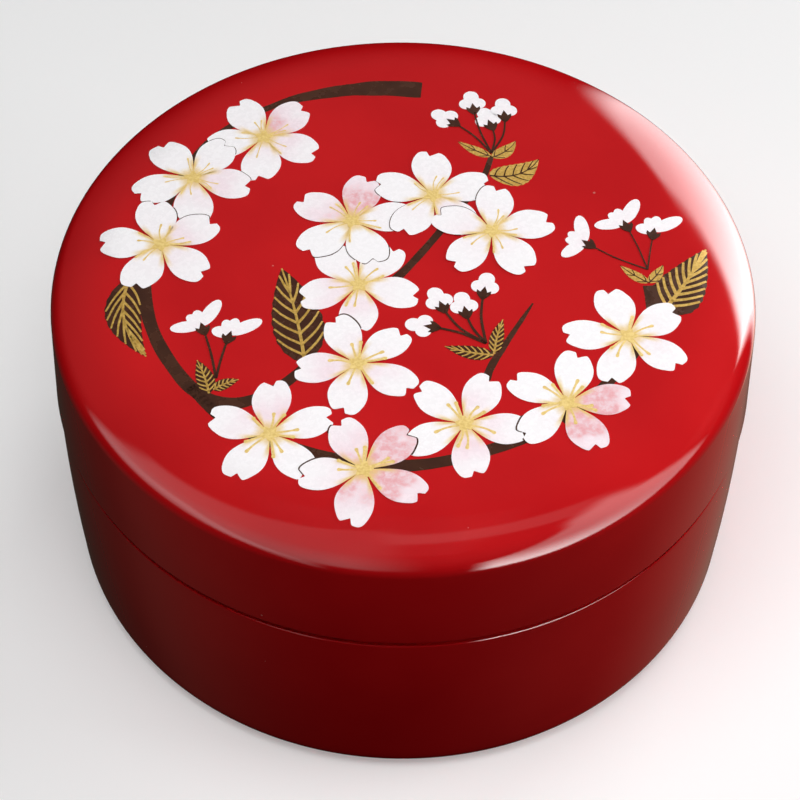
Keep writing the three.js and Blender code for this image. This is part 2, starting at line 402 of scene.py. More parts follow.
pad_slack_top = pad_high[2] - PAD_SWELL
pad_slack_radius = pad_radius - PAD_SIDE_GAP
pad_profile = [(0, pad_low[2]), (pad_slack_radius, pad_low[2])]
pad_profile += arc(
    pad_slack_radius - PAD_EDGE_RADIUS, pad_slack_top - PAD_EDGE_RADIUS, PAD_EDGE_RADIUS, 0, 90, 6
)
pad_profile.append((0, pad_slack_top))
pad = turned("velvet_floor_pad", pad_profile)
puffed(pad, PAD_VOXEL, lambda place: place.z < pad_low[2] + PAD_GLUED_HEIGHT, PAD_SWELL, PAD_PRESSURE)
pad.data.materials.append(velvet)
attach(pad, "box")
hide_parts("floor_pad")

# Divider
# A plate of card wrapped in velvet stands across the middle of the floor pad, and its ends stop just short of
# the wall lining. Its top corners are rounded, and the velvet softens every edge.
DIVIDER_CORNER = 3 * MM
DIVIDER_EDGE_RADIUS = 0.9 * MM
divider_low, divider_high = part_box("divider")
divider_size = [high - low for low, high in zip(divider_low, divider_high)]
divider_middle = [(low + high) / 2 for low, high in zip(divider_low, divider_high)]


def deselect_mesh(kind):
    """Deselects the active mesh all over, so that its edges or faces can be picked in code."""
    bpy.ops.object.mode_set(mode="EDIT")
    bpy.ops.mesh.select_mode(type=kind)
    bpy.ops.mesh.select_all(action="DESELECT")
    bpy.ops.object.mode_set(mode="OBJECT")


bpy.ops.mesh.primitive_cube_add(size=1, location=divider_middle)
divider = bpy.context.object
divider.name = "velvet_divider"
divider.scale = divider_size
bpy.ops.object.transform_apply(location=True, rotation=False, scale=True)
deselect_mesh("EDGE")
for edge in divider.data.edges:
    ends = [divider.data.vertices[index].co for index in edge.vertices]
    on_top = min(end.z for end in ends) > divider_middle[2]
    edge.select = on_top and abs(ends[0].x - ends[1].x) < MERGE_DISTANCE
bpy.ops.object.mode_set(mode="EDIT")
bpy.ops.mesh.bevel(offset=DIVIDER_CORNER, segments=8, affect="EDGES")
bpy.ops.mesh.select_mode(type="VERT")
bpy.ops.object.mode_set(mode="OBJECT")
softened = divider.modifiers.new("soft_edges", "BEVEL")
softened.width = DIVIDER_EDGE_RADIUS
softened.segments = 5
softened.limit_method = "ANGLE"
softened.angle_limit = SMOOTH_ANGLE
bpy.ops.object.modifier_apply(modifier="soft_edges")
bpy.ops.object.shade_smooth_by_angle(angle=SMOOTH_ANGLE)
divider.select_set(False)
divider.data.materials.append(velvet)
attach(divider, "box")
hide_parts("divider")

# Ring rolls
# Four foam rolls in velvet lie side by side behind the divider, and rings are held between them. Each cover
# is gathered in pleats at the roll's ends and pulled in to a dimple there.
ROLL_COUNT = 4
ROLL_SWELL = 0.3 * MM
ROLL_END_ROUND = 2.5 * MM
ROLL_VOXEL = 0.8 * MM
ROLL_GLUED_SHARE = 0.9
ROLL_PRESSURE = 3
PLEAT_COUNT = 11
PLEAT_DEPTH = 0.16 * MM
PLEAT_LENGTH = 5 * MM
DIMPLE_DEPTH = 0.7 * MM
DIMPLE_RADIUS = 1.4 * MM


def roll_profile(radius, half_length):
    points = [(0, -half_length)]
    points += arc(radius - ROLL_END_ROUND, ROLL_END_ROUND - half_length, ROLL_END_ROUND, -90, 0, 8)
    points += arc(radius - ROLL_END_ROUND, half_length - ROLL_END_ROUND, ROLL_END_ROUND, 0, 90, 8)
    points.append((0, half_length))
    return points


for number in range(1, ROLL_COUNT + 1):
    node = f"ring_roll_{number}"
    low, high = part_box(node)
    radius = (high[2] - low[2]) / 2
    half_length = high[0]
    centre = Vector((0, (low[1] + high[1]) / 2, (low[2] + high[2]) / 2))
    roll = turned(f"velvet_{node}", roll_profile(radius - ROLL_SWELL, half_length - ROLL_SWELL))
    for vertex in roll.data.vertices:
        across, up, along = vertex.co
        vertex.co = Vector((along, across, up)) + centre
    glued_below = centre.z - ROLL_GLUED_SHARE * radius
    puffed(roll, ROLL_VOXEL, lambda place: place.z < glued_below, ROLL_SWELL, ROLL_PRESSURE)
    for vertex in roll.data.vertices:
        offset = vertex.co - centre
        from_end = half_length - abs(offset.x)
        out = math.hypot(offset.y, offset.z)
        gather = max(0, 1 - from_end / PLEAT_LENGTH) ** 2
        fold = 0.5 - 0.5 * math.cos(PLEAT_COUNT * math.atan2(offset.z, offset.y))
        shrink = 1 - PLEAT_DEPTH * gather * fold / max(out, MM)
        dimple = DIMPLE_DEPTH * max(0, 1 - out / DIMPLE_RADIUS) ** 2
        inward = math.copysign(dimple if from_end < ROLL_END_ROUND else 0, offset.x)
        vertex.co = centre + Vector((offset.x - inward, offset.y * shrink, offset.z * shrink))
    roll.data.materials.append(velvet)
    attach(roll, "box")
    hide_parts(node)

# Lid shell
# The lid is turned like the body: a short drafted side, a rounded edge, a sloping shoulder and a shallow
# dome. It has the same lacquer, and its lip meets the body's rim at a fine seam.
lid_low, lid_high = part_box("lid_shell")
LID_DRAFT = 0.4 * MM
LID_SIDE_HEIGHT = 15.9 * MM
EDGE_RADIUS = 4 * MM
SHOULDER_WIDTH = 8.8 * MM
SHOULDER_SLOPE = math.radians(30)
DOME_RISE = 0.9 * MM
LID_TOP_WALL = 3.4 * MM
CEILING_FILLET = 4 * MM
LIP_INNER_RADIUS = 0.4 * MM
LIP_OUTER_RADIUS = 0.8 * MM
LID_CLEARANCE = 0.3 * MM
lid_radius = lid_high[0]
lid_lip = lid_low[2]
lid_top = lid_high[2]
lid_bore = collar_outer + LID_CLEARANCE
lid_side_top = lid_lip + LID_SIDE_HEIGHT
edge_r = lid_radius - LID_DRAFT - EDGE_RADIUS
shoulder_outer = edge_r + EDGE_RADIUS * math.sin(SHOULDER_SLOPE)
shoulder_foot = lid_side_top + EDGE_RADIUS * math.cos(SHOULDER_SLOPE)
dome_edge = shoulder_outer - SHOULDER_WIDTH
dome_radius = (dome_edge ** 2 + DOME_RISE ** 2) / (2 * DOME_RISE)
dome_turn = math.asin(dome_edge / dome_radius)
shoulder_radius = SHOULDER_WIDTH / (math.sin(SHOULDER_SLOPE) - math.sin(dome_turn))
shoulder_r = shoulder_outer - shoulder_radius * math.sin(SHOULDER_SLOPE)
shoulder_z = shoulder_foot - shoulder_radius * math.cos(SHOULDER_SLOPE)
lid_ceiling = lid_top - DOME_RISE - LID_TOP_WALL


def lid_profile():
    dome_start = 90 - math.degrees(dome_turn)
    shoulder_start = 90 - math.degrees(SHOULDER_SLOPE)
    points = [(0, lid_ceiling)]
    points += arc(lid_bore - CEILING_FILLET, lid_ceiling - CEILING_FILLET, CEILING_FILLET, 90, 0, 10)
    points += arc(lid_bore + LIP_INNER_RADIUS, lid_lip + LIP_INNER_RADIUS, LIP_INNER_RADIUS, 180, 270, 4)
    points += arc(lid_radius - LIP_OUTER_RADIUS, lid_lip + LIP_OUTER_RADIUS, LIP_OUTER_RADIUS, -90, 0, 8)
    points += arc(edge_r, lid_side_top, EDGE_RADIUS, 0, shoulder_start, 14)
    points += arc(shoulder_r, shoulder_z, shoulder_radius, shoulder_start, dome_start, 16)[1:]
    points += arc(0, lid_top - dome_radius, dome_radius, dome_start, 90, 16)[1:-1]
    points.append((0, lid_top))
    return points


lid = turned("lacquered_lid", lid_profile())
lid.data.materials.append(lacquer)
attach(lid, "lid")
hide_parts("lid_shell")

# Mirror surround
# A card ring covered with velvet is glued to the lid's ceiling. Its lower face is slightly crowned, and it
# frames the mirror.
SURROUND_EDGE_RADIUS = 0.8 * MM
SURROUND_CROWN = 0.3 * MM
SURROUND_GAP = 0.4 * MM
surround_low, surround_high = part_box("lid_surround")
mirror_low, mirror_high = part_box("lid_mirror")
mirror_radius = mirror_high[0]
surround_inner = mirror_radius + SURROUND_GAP
surround_outer = surround_high[0]


def surround_profile():
    """The ring's profile: a flat back above, and below it a crown between two rounded edges."""
    crown_steps = 10
    edge = SURROUND_EDGE_RADIUS
    inner = surround_inner + edge
    outer = surround_outer - edge
    edge_z = surround_low[2] + SURROUND_CROWN + edge
    points = arc(inner, edge_z, edge, 180, 270, 6)
    for step in range(1, crown_steps):
        share = step / crown_steps
        sag = SURROUND_CROWN * (1 - 4 * share * (1 - share))
        points.append((inner + (outer - inner) * share, surround_low[2] + sag))
    points += arc(outer, edge_z, edge, -90, 0, 6)
    points += [(surround_outer, surround_high[2]), (surround_inner, surround_high[2])]
    return points


surround = turned("velvet_mirror_surround", surround_profile())
surround.data.materials.append(velvet)
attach(surround, "lid")
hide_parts("lid_surround")

# Mirror
# A silvered glass disc is glued to the middle of the lid's ceiling. Its lower edge is ground to a narrow
# bevel, where the glass shows a little green.
MIRROR_BEVEL = 0.5 * MM
MIRROR_ARRIS = 0.08 * MM


def silvered_glass():
    silver = (0.88, 0.9, 0.91, 1)
    green_edge = (0.42, 0.6, 0.52, 1)
    material, tree, shader = new_material("silvered_glass", Metallic=1.0)
    place = object_place(tree)
    flat = add_node(tree, "ShaderNodeVectorMath", {0: place, 1: (1, 1, 0)}, operation="MULTIPLY").outputs[0]
    radius = add_node(tree, "ShaderNodeVectorMath", {0: flat}, operation="LENGTH").outputs["Value"]
    edge = ramp(tree, radius, mirror_radius - 1.4 * MIRROR_BEVEL, mirror_radius - 0.9 * MIRROR_BEVEL)
    tree.links.new(mixed(tree, edge, silver, green_edge), shader.inputs["Base Color"])
    smears = noise(tree, place, 70.0, 4.0)
    tree.links.new(ramp(tree, smears, 0.45, 0.75, 0.015, 0.07), shader.inputs["Roughness"])
    return material


mirror_face = mirror_low[2]
mirror_profile = [
    (0, mirror_face),
    (mirror_radius - MIRROR_BEVEL - MIRROR_ARRIS, mirror_face),
    (mirror_radius - MIRROR_BEVEL, mirror_face + MIRROR_ARRIS / 2),
    (mirror_radius - MIRROR_ARRIS / 2, mirror_face + MIRROR_BEVEL),
    (mirror_radius, mirror_face + MIRROR_BEVEL + MIRROR_ARRIS),
    (mirror_radius, mirror_high[2]),
    (0, mirror_high[2]),
]
mirror = turned("silvered_mirror", mirror_profile)
mirror.data.materials.append(silvered_glass())
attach(mirror, "lid")
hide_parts("lid_mirror")

# Painted branches
# Dark brown branches sweep round the lid in a broken ring, with a spur and a twig inside it. Each is a
# brushed film of lacquer paint, tapered and a little uneven along its edges.
FILM_THICKNESS = 0.05 * MM
BRANCH_LIFT = 0.02 * MM
SLOW_WAVE = 0.04
SLOW_PITCH = 17
FAST_WAVE = 0.03
FAST_PITCH = 41
PHASE_STEP = 1.7
PATH_STEP = 0.01
PATH_END = 0.99999
BRANCHES = [
    # points of each path: x, y and the width there, in millimetres on the lid's plan
    [(2.5, 38.8, 3.6), (-2, 39.1, 3.5), (-6, 39, 3.3), (-10, 38.5, 2.8), (-14, 37.6, 2.3), (-18, 36.4, 1.7),
     (-21, 35, 1.3), (-27, 31, 1.2), (-32, 25.5, 1.2), (-35.5, 18, 1.2), (-38, 8, 1.2)],
    [(-39.5, -4, 1.8), (-38.7, -10, 2.1), (-36.5, -16.3, 2.1), (-33, -22.3, 2.1), (-30.3, -25.4, 2.3),
     (-27.8, -27, 2.4), (-24, -27.3, 2), (-19, -25, 1.9), (-14, -20, 1.8)],
    [(-31.5, -24.2, 1.6), (-27, -29.5, 2), (-22, -33, 2), (-15, -35.8, 2), (-8, -37.8, 2), (0, -38.6, 2),
     (7, -37.5, 2), (14, -35, 2.1), (20, -32, 1.9)],
    [(23.5, -29.8, 1.8), (26.2, -27.3, 1.8), (30.7, -22.2, 1.7), (35, -16, 1.6), (37.6, -9, 1.6),
     (37.3, -3, 1.4)],
    [(-4, -6.2, 1.5), (0.2, -1.1, 1.4), (4.2, 4.9, 1.2), (8.5, 12, 1.1), (12, 18, 1), (13.7, 23.8, 0.9)],
    [(12.4, -22.5, 1.4), (13.5, -19.3, 1.2), (16.2, -14, 0.9), (18.4, -9.8, 0.6), (19.7, -7.3, 0.25)],
]


def lid_height(x, y):
    """Height of the lid's outside over a place on its plan."""
    radius = math.hypot(x, y)
    if radius <= dome_edge:
        return lid_top - dome_radius + math.sqrt(dome_radius ** 2 - radius ** 2)
    return shoulder_z + math.sqrt(shoulder_radius ** 2 - (radius - shoulder_r) ** 2)


def patch(name, columns, rows, place):
    """A flat patch of paint.

    The function place gives the plan point, in millimetres, of each share along and across it.
    """
    bpy.ops.mesh.primitive_grid_add(x_subdivisions=columns, y_subdivisions=rows, size=1)
    piece = bpy.context.object
    piece.name = name
    for vertex in piece.data.vertices:
        x, y = place(vertex.co.x + 0.5, vertex.co.y + 0.5)
        vertex.co = (x * MM, y * MM, 0)
    return piece


def joined(name, patches):
    bpy.ops.object.select_all(action="DESELECT")
    for piece in patches:
        piece.select_set(True)
    bpy.context.view_layer.objects.active = patches[0]
    if len(patches) > 1:
        bpy.ops.object.join()
    patches[0].name = name
    return patches[0]


def laid(film, lift):
    """Gives a flat film its thickness and settles it on the lid, its face at a lift above the lacquer."""
    bpy.context.view_layer.objects.active = film
    bpy.ops.object.mode_set(mode="EDIT")
    bpy.ops.mesh.select_all(action="SELECT")
    bpy.ops.mesh.remove_doubles(threshold=MERGE_DISTANCE)
    bpy.ops.object.mode_set(mode="OBJECT")
    thickness = film.modifiers.new("thickness", "SOLIDIFY")
    thickness.thickness = FILM_THICKNESS
    thickness.offset = -1
    bpy.ops.object.modifier_apply(modifier="thickness")
    for vertex in film.data.vertices:
        vertex.co.z += lid_height(vertex.co.x, vertex.co.y) + lift
    film.select_set(False)
    return film


def path_point(points, share):
    """A point at a share of the way along a smooth path through the given points."""
    last = len(points) - 1
    place = min(share, PATH_END) * last
    index = int(place)
    t = place - index
    a = points[max(index - 1, 0)]
    b = points[index]
    c = points[index + 1]
    d = points[min(index + 2, last)]
    return tuple(
        0.5 * (2 * b[i] + (c[i] - a[i]) * t + (2 * a[i] - 5 * b[i] + 4 * c[i] - d[i]) * t * t
               + (3 * b[i] - a[i] - 3 * c[i] + d[i]) * t ** 3)
        for i in range(len(b))
    )


def ribbon(name, points, width, columns, rows):
    """A ribbon of paint along a path. The function width gives its width at each share of the way."""
    def place(along, across):
        middle = path_point(points, along)
        back = path_point(points, max(along - PATH_STEP, 0))
        ahead = path_point(points, min(along + PATH_STEP, 1))
        run = Vector((ahead[0] - back[0], ahead[1] - back[1])).normalized()
        offset = (across - 0.5) * width(along)
        return middle[0] - run.y * offset, middle[1] + run.x * offset
    return patch(name, columns, rows, place)


def brushed_width(points, phase):
    """The width of a branch along its path, a little uneven as a brush leaves it."""
    def width(along):
        slow = SLOW_WAVE * math.sin(SLOW_PITCH * along + phase)
        fast = FAST_WAVE * math.sin(FAST_PITCH * along + 2 * phase)
        return path_point(points, along)[2] * (1 + slow + fast)
    return width


def brown_paint():
    dark_brown = (0.044, 0.015, 0.008, 1)
    light_brown = (0.058, 0.02, 0.01, 1)
    material, tree, shader = new_material("brown_paint", IOR=1.5)
    strokes = noise(tree, object_place(tree), 420.0, 3.0)
    colour = mixed(tree, ramp(tree, strokes, 0.3, 0.7), dark_brown, light_brown)
    tree.links.new(colour, shader.inputs["Base Color"])
    tree.links.new(ramp(tree, strokes, 0.3, 0.7, 0.2, 0.3), shader.inputs["Roughness"])
    return material


brown = brown_paint()
branch_ribbons = []
for index, points in enumerate(BRANCHES):
    width = brushed_width(points, PHASE_STEP * index)
    branch_ribbons.append(ribbon("branch", points, width, columns=70, rows=4))
branches = laid(joined("painted_branches", branch_ribbons), BRANCH_LIFT)
branches.data.materials.append(brown)
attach(branches, "lid")

# Painted leaves
# Pointed leaves sit along the branches: dark ones with a gold rib and side veins, and gold ones with brown
# veins. The veins are drawn in fine lines over the leaves.
LEAF_LIFT = 0.04 * MM
VEIN_LIFT = 0.06 * MM
LEAF_ROUNDNESS = 0.85
SAW_DEPTH = 0.03
SAW_PITCH = 60
RIB_STEPS = 6
FIRST_VEIN = 0.07
VEINED_SHARE = 0.77
LAST_VEIN_END = 0.97
VEIN_REACH = 0.95
VEIN_BOW = 0.6
# The slant is the share of the leaf's length that a side vein runs along it, the line is the rib's width, and
# a low taper moves the widest place towards the base.
Leaf = namedtuple("Leaf", "base tip half_width bend pairs slant line taper", defaults=(0.7,))
DARK_LEAVES = [
    Leaf((-41.8, -2.5), (-38.4, -18.4), 2.8, -2.2, 7, 0.3, 0.42),
    Leaf((-14.6, -19.5), (-18.7, -1), 3.9, -0.4, 7, 0.2, 0.45),
    Leaf((39.5, -8), (46.8, 5.2), 3.9, -0.4, 8, 0.24, 0.55, 0.5),
    Leaf((13.6, -17.7), (6.3, -16.2), 1.3, 0.3, 6, 0.16, 0.28),
    Leaf((13.7, -17.5), (15.1, -10.7), 1.1, 0.2, 6, 0.16, 0.28),
    Leaf((-28.6, -25.5), (-30.7, -19.2), 1.4, -0.2, 6, 0.16, 0.28),
    Leaf((-28, -24.8), (-24.3, -22.9), 1, 0.2, 5, 0.16, 0.26),
]
GOLD_LEAVES = [
    Leaf((13.4, 19.4), (21.2, 23.3), 2.4, -1.6, 5, 0.2, 0.24),
    Leaf((13.6, 23.7), (8.4, 26.9), 0.9, 0.2, 2, 0.2, 0.18),
    Leaf((13.8, 23.5), (17.6, 27.3), 1.2, -0.5, 2, 0.2, 0.18),
    Leaf((37.5, -2.4), (33.3, 0.9), 0.9, 0.2, 2, 0.2, 0.18),
    Leaf((37.6, -2.4), (39.9, 1.3), 0.9, -0.2, 2, 0.2, 0.18),
]


def leaf_frame(leaf):
    """The middle line of a leaf, bent to one side, as a function of the share along it."""
    run = Vector((leaf.tip[0] - leaf.base[0], leaf.tip[1] - leaf.base[1]))
    side = Vector((-run.y, run.x)).normalized()
    def middle(along):
        return Vector(leaf.base) + run * along + side * (4 * leaf.bend * along * (1 - along)), side
    return middle


def leaf_half_width(leaf, along):
    return leaf.half_width * math.sin(math.pi * along ** leaf.taper) ** LEAF_ROUNDNESS


def leaf_patch(leaf):
    middle = leaf_frame(leaf)
    def place(along, across):
        centre, side = middle(along)
        saw = 1 + SAW_DEPTH * math.sin(SAW_PITCH * along)
        return tuple(centre + side * (2 * across - 1) * leaf_half_width(leaf, along) * saw)
    return patch("leaf", 40, 6, place)


def tapering(width, start, loss):
    """A line's width along it, which starts at one share of a full width and loses another by its end."""
    return lambda along: width * (start - loss * along)


def leaf_veins(leaf):
    """A rib down the middle of a leaf and pairs of side veins that sweep out towards its tip."""
    middle = leaf_frame(leaf)
    rib = [tuple(middle(step / RIB_STEPS)[0]) for step in range(RIB_STEPS + 1)]
    lines = [ribbon("rib", rib, tapering(leaf.line, 1.25, 0.7), columns=12, rows=1)]
    for pair in range(leaf.pairs):
        root = FIRST_VEIN + VEINED_SHARE * pair / leaf.pairs
        end = min(root + leaf.slant, LAST_VEIN_END)
        for hand in (-1, 1):
            start_point, side = middle(root)
            end_point, side = middle(end)
            reach = hand * VEIN_REACH * leaf_half_width(leaf, end)
            half_way = (start_point + end_point) / 2 + side * reach * VEIN_BOW
            points = [tuple(start_point), tuple(half_way), tuple(end_point + side * reach)]
            lines.append(ribbon("vein", points, tapering(leaf.line, 1, 0.35), columns=8, rows=1))
    return lines


def gold_paint(name, dull, bright, metallic):
    material, tree, shader = new_material(name, Metallic=metallic, IOR=1.5)
    powder = noise(tree, object_place(tree), 2600.0, 3.0)
    tree.links.new(mixed(tree, ramp(tree, powder, 0.3, 0.7), dull, bright), shader.inputs["Base Color"])
    tree.links.new(ramp(tree, powder, 0.3, 0.7, 0.38, 0.55), shader.inputs["Roughness"])
    bumped(tree, shader, powder, 0.25, 0.03 * MM)
    return material


gold = gold_paint("gold_paint", dull=(0.5, 0.29, 0.05, 1), bright=(0.7, 0.46, 0.12, 1), metallic=0.35)
leaf_groups = [
    ("dark", DARK_LEAVES, brown, "branch_paint", gold, "gold_paint"),
    ("gold", GOLD_LEAVES, gold, "gold_paint", brown, "branch_paint"),
]
for shade, leaves, fill, fill_slot, line, line_slot in leaf_groups:
    patches = []
    veins = []
    for leaf in leaves:
        patches.append(leaf_patch(leaf))
        veins += leaf_veins(leaf)
    film = laid(joined(f"painted_{shade}_leaves", patches), LEAF_LIFT)
    film.data.materials.append(fill)
    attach(film, "lid")
    lines = laid(joined(f"painted_{shade}_leaf_veins", veins), VEIN_LIFT)
    lines.data.materials.append(line)
    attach(lines, "lid")

# Painted blossoms
# Thirteen five-petalled blossoms, white to pale pink, lie along the branches, and some are painted partly
# over others. A petal is narrow at its foot and notched at its tip. A few petals are a deeper, mottled pink.
PETAL_SEED = 7
PETAL_COUNT = 5
PETAL_TURN = 360 / PETAL_COUNT
PETAL_LENGTH = 9.5
PETAL_FOOT = 0.1
PETAL_FOOT_WIDTH = 0.06
PETAL_SWEEP = 0.71 * math.pi
PETAL_FULLNESS = 1.15
NOTCH_DEPTH = 0.1
NOTCH_STEEP_SIDE = 0.15
NOTCH_EASY_SIDE = 0.6
LOBE_STEP = 0.04
LOBE_START = 0.3
LOBE_ROUNDING = 0.12
TURN_SPREAD = 2.5
LENGTH_RANGE = (0.97, 1.03)
WIDTH_RANGE = (0.96, 1.04)
NOTCH_SPREAD = 0.12
BLOSSOM_LIFT = 0.08 * MM
LAYER_STEP = 0.05 * MM
BLOSSOMS = [
    # x, y, turn, half-width of a petal, layer, tint of each petal
    (-22.6, 27.5, 50, 3.15, 0, (0.45, 0.1, 0.05, 0.15, 0.25)),
    (-33.4, 18.4, 58, 3.15, 1, (0.1, 0.05, 0.05, 0.2, 0.3)),
    (-37.6, 4, 30, 3.1, 2, (0.25, 0.1, 0.0, 0.1, 0.15)),
    (-6.8, -4.2, 56, 3.05, 0, (0.1, 0.1, 0.3, 0.25, 0.1)),
    (-8.2, 9, 7, 3.15, 1, (0.1, 0.9, 0.4, 0.0, 0.0)),
    (4.4, 14.7, 22, 3.15, 2, (0.1, 0.1, 0.05, 0.1, 0.25)),
    (13.6, 7.3, 15, 3.1, 3, (0.1, 0.1, 0.15, 0.1, 0.1)),
    (-6.7, -19.8, 42, 2.9, 1, (0.1, 0.15, 0.3, 0.15, 0.2)),
    (9.3, -30.8, 64, 2.85, 0, (0.2, 0.1, 0.1, 0.35, 0.2)),
    (-19.3, -33, 18, 2.85, 0, (0.1, 0.35, 0.2, 0.1, 0.1)),
    (-5.4, -39.4, 43, 2.85, 1, (1.2, 0.45, 0.2, 0.6, 0.9)),
    (24.5, -26.5, 7, 2.85, 1, (1.2, 0.0, 0.0, 0.1, 1.1)),
    (34, -13.2, 36, 2.9, 0, (0.1, 0.05, 0.0, 0.1, 0.15)),
]


def petal_width(along):
    """A petal's share of its full width at a share of its length."""
    return PETAL_FOOT_WIDTH + (1 - PETAL_FOOT_WIDTH) * math.sin(PETAL_SWEEP * along ** PETAL_FULLNESS)


def petal_reach(notch_at, hand, side):
    """A petal's share of its full length across its tip, where a notch parts a longer and a shorter lobe."""
    past = hand * (side - notch_at)
    notch = max(0, 1 - past / NOTCH_EASY_SIDE) if past > 0 else max(0, 1 + past / NOTCH_STEEP_SIDE)
    corner = max(0, (abs(side) - LOBE_START) / (1 - LOBE_START))
    return 1 - NOTCH_DEPTH * notch - LOBE_ROUNDING * corner ** 3 - LOBE_STEP * hand * side


def bearing(angle):
    """The cosine and sine of an angle in degrees."""
    return math.cos(math.radians(angle)), math.sin(math.radians(angle))


def turned_about(x, y, angle, point):
    """Turns a point by an angle in degrees and moves it to x, y."""
    c, s = bearing(angle)
    return x + c * point[0] - s * point[1], y + s * point[0] + c * point[1]


class Petal:
    """One petal's place, turn and small differences from its neighbours."""
    def __init__(self, x, y, angle, half_width, layer, tint, chance):
        self.x = x
        self.y = y
        self.angle = angle + chance.uniform(-TURN_SPREAD, TURN_SPREAD)
        self.layer = layer
        self.tint = tint
        self.length = PETAL_LENGTH * chance.uniform(*LENGTH_RANGE)
        self.half_width = half_width * chance.uniform(*WIDTH_RANGE)
        self.notch_at = chance.uniform(-NOTCH_SPREAD, NOTCH_SPREAD)
        self.hand = chance.choice((-1, 1))

    def point(self, along, across, margin=0.0):
        """A plan point at a share along the petal and across it, with a margin added all round."""
        side = 2 * across - 1
        out = PETAL_FOOT + (1 - PETAL_FOOT) * along
        reach = (self.length + margin) * petal_reach(self.notch_at, self.hand, side)
        width = (self.half_width + margin) * petal_width(out)
        return turned_about(self.x, self.y, self.angle, (out * reach, width * side))

    def covers(self, x, y):
        """Whether a plan point lies on this petal."""
        c, s = bearing(self.angle)
        out = c * (x - self.x) + s * (y - self.y)
        off = c * (y - self.y) - s * (x - self.x)
        along = out / self.length
        if not PETAL_FOOT < along < 1:
            return False
        side = off / (self.half_width * petal_width(along))
        return abs(side) < 1 and along < petal_reach(self.notch_at, self.hand, side)


chance = random.Random(PETAL_SEED)
petals = []
for x, y, turn, half_width, layer, tints in BLOSSOMS:
    for index, tint in enumerate(tints):
        petals.append(Petal(x, y, turn + PETAL_TURN * index, half_width, layer, tint, chance))


def blossom_paint():
    white = (0.95, 0.925, 0.94, 1)
    pale_pink = (0.92, 0.78, 0.83, 1)
    pink = (0.8, 0.4, 0.43, 1)
    foot_gold = (0.8, 0.55, 0.16, 1)
    material, tree, shader = new_material("blossom_paint", IOR=1.5)
    place = object_place(tree)
    shares = add_node(tree, "ShaderNodeUVMap", uv_map="UVMap").outputs[0]
    share = add_node(tree, "ShaderNodeSeparateXYZ", {0: shares})
    along = share.outputs[0]
    side = maths(tree, "ABSOLUTE", maths(tree, "MULTIPLY_ADD", share.outputs[1], 2.0, -1.0))
    tint = add_node(tree, "ShaderNodeAttribute", attribute_name="tint").outputs["Fac"]
    mottle = noise(tree, place, 1100.0, 5.0, Roughness=0.7)
    uneven = ramp(tree, noise(tree, place, 260.0, 2.0), 0.25, 0.75, 0.7, 1.3)
    fading = ramp(tree, along, 0.3, 0.9, 1.5, 0.5)
    blush = product(tree, tint, uneven, fading)
    colour = mixed(tree, ramp(tree, blush, 0.0, 0.5), white, pale_pink)
    speckle = product(tree, ramp(tree, blush, 0.45, 0.9), ramp(tree, mottle, 0.38, 0.62, 0.35, 1.0))
    colour = mixed(tree, speckle, colour, pink)
    edges = product(tree, ramp(tree, along, 0.2, 0.5, 0.9, 0.0), ramp(tree, side, 0.55, 0.95))
    foot = maths(tree, "MAXIMUM", edges, ramp(tree, along, 0.04, 0.24, 0.75, 0.0))
    tree.links.new(mixed(tree, foot, colour, foot_gold), shader.inputs["Base Color"])
    tree.links.new(ramp(tree, mottle, 0.3, 0.7, 0.22, 0.32), shader.inputs["Roughness"])
    return material


def tinted(film, tint):
    """Gives a film of blossom paint its strength of pink."""
    tints = film.data.attributes.new("tint", "FLOAT", "POINT")
    tints.data.foreach_set("value", [tint] * len(film.data.vertices))
    return film


blossom_white = blossom_paint()
petal_films = []
for petal in petals:
    film = tinted(patch("petal", 14, 30, petal.point), petal.tint)
    petal_films.append(laid(film, BLOSSOM_LIFT + petal.layer * LAYER_STEP))
blossoms = joined("painted_blossoms", petal_films)
blossoms.data.materials.append(blossom_white)
blossoms.select_set(False)
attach(blossoms, "lid")

# Petal outlines
# Where a petal is painted over another blossom, a fine dark line follows its edge so that the two stay apart.
# The lines are finer towards the back of the lid.
OUTLINE_WIDTH = 0.3
OUTLINE_COLUMNS = 72
OUTLINE_TUCK = 0.25
OUTLINE_DROP = 0.4
SIDE_SHARE = 0.36
FINE_START = -20
FINE_RUN = 35
FINEST = 0.5


def fineness(y):
    """The share of its full width that a fine line keeps at a distance y behind the lid's middle."""
    return 1 - (1 - FINEST) * min(1, max(0, (y - FINE_START) / FINE_RUN))


def outline_place(petal):
    """Places a band round a petal's edge: out along one side, across the tip and back along the other."""
    def place(along, across):
        margin = OUTLINE_WIDTH * fineness(petal.y) * (across - OUTLINE_TUCK)
        if along < SIDE_SHARE:
            return petal.point(along / SIDE_SHARE, 1, margin)
        if along > 1 - SIDE_SHARE:
            return petal.point((1 - along) / SIDE_SHARE, 0, margin)
        return petal.point(1, 1 - (along - SIDE_SHARE) / (1 - 2 * SIDE_SHARE), margin)
    return place


